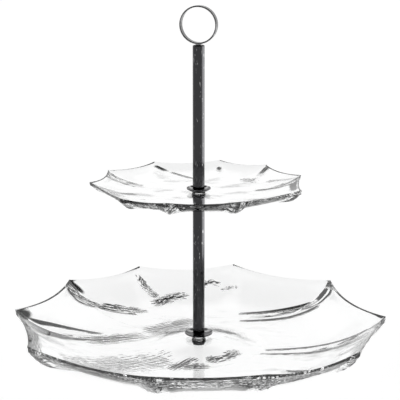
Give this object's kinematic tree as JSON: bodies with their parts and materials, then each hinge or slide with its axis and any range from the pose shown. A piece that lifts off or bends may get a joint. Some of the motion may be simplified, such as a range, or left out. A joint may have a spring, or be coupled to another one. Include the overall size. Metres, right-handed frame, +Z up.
{
  "type": "tiered cake stand",
  "caption": "Free-standing cake stand with a large and a small scalloped glass plate clamped on a slim metal column that ends in a ring handle.",
  "frame": {"origin": "on the column's axis, at the level of the table that the lower plate rests on", "axes": "+Z up along the column; +X towards one tip of the lower plate's rim, within 2 degrees; -Y is the side seen from the front"},
  "size_m": [0.3193, 0.3124, 0.2941],
  "materials": {
    "clear_glass": "clear, fire-polished pressed crystal",
    "dark_steel": "polished black-nickel plated steel",
    "zinc_steel": "zinc plated",
    "nylon": "black nylon",
    "black_rubber": "soft black rubber"
  },
  "bodies": {
    "lower_tier": {"lower_plate": "clear_glass", "lower_hole_sleeve": "nylon", "bottom_gasket": "black_rubber", "lower_top_gasket": "black_rubber"},
    "column": {"bottom_screw": "dark_steel", "bottom_washer": "dark_steel", "lower_cup_washer": "dark_steel", "lower_rod": "dark_steel", "lower_rod_bottom_insert": "zinc_steel", "lower_rod_top_insert": "zinc_steel", "joining_stud": "zinc_steel", "upper_under_washer": "dark_steel"},
    "upper_tier": {"upper_plate": "clear_glass", "upper_hole_sleeve": "nylon", "upper_under_gasket": "black_rubber", "upper_top_gasket": "black_rubber"},
    "upper_column": {"upper_cup_washer": "dark_steel", "upper_rod": "dark_steel", "upper_rod_bottom_insert": "zinc_steel", "upper_rod_top_insert": "zinc_steel"},
    "handle": {"handle_ring": "dark_steel", "handle_stud": "dark_steel"}
  },
  "joints": [
    {"name": "column_turn", "type": "hinge", "parent": "lower_tier", "child": "column", "pos_m": [0, 0, 0.014], "axis": [0, 0, 1], "continuous": true},
    {"name": "upper_plate_turn", "type": "hinge", "parent": "column", "child": "upper_tier", "pos_m": [0, 0, 0.135], "axis": [0, 0, 1], "continuous": true},
    {"name": "upper_rod_unscrew", "type": "hinge", "parent": "column", "child": "upper_column", "pos_m": [0, 0, 0.141], "axis": [0, 0, 1], "range_deg": [0, 6120]},
    {"name": "handle_unscrew", "type": "hinge", "parent": "upper_column", "child": "handle", "pos_m": [0, 0, 0.2616], "axis": [0, 0, 1], "range_deg": [0, 6120]}
  ]
}
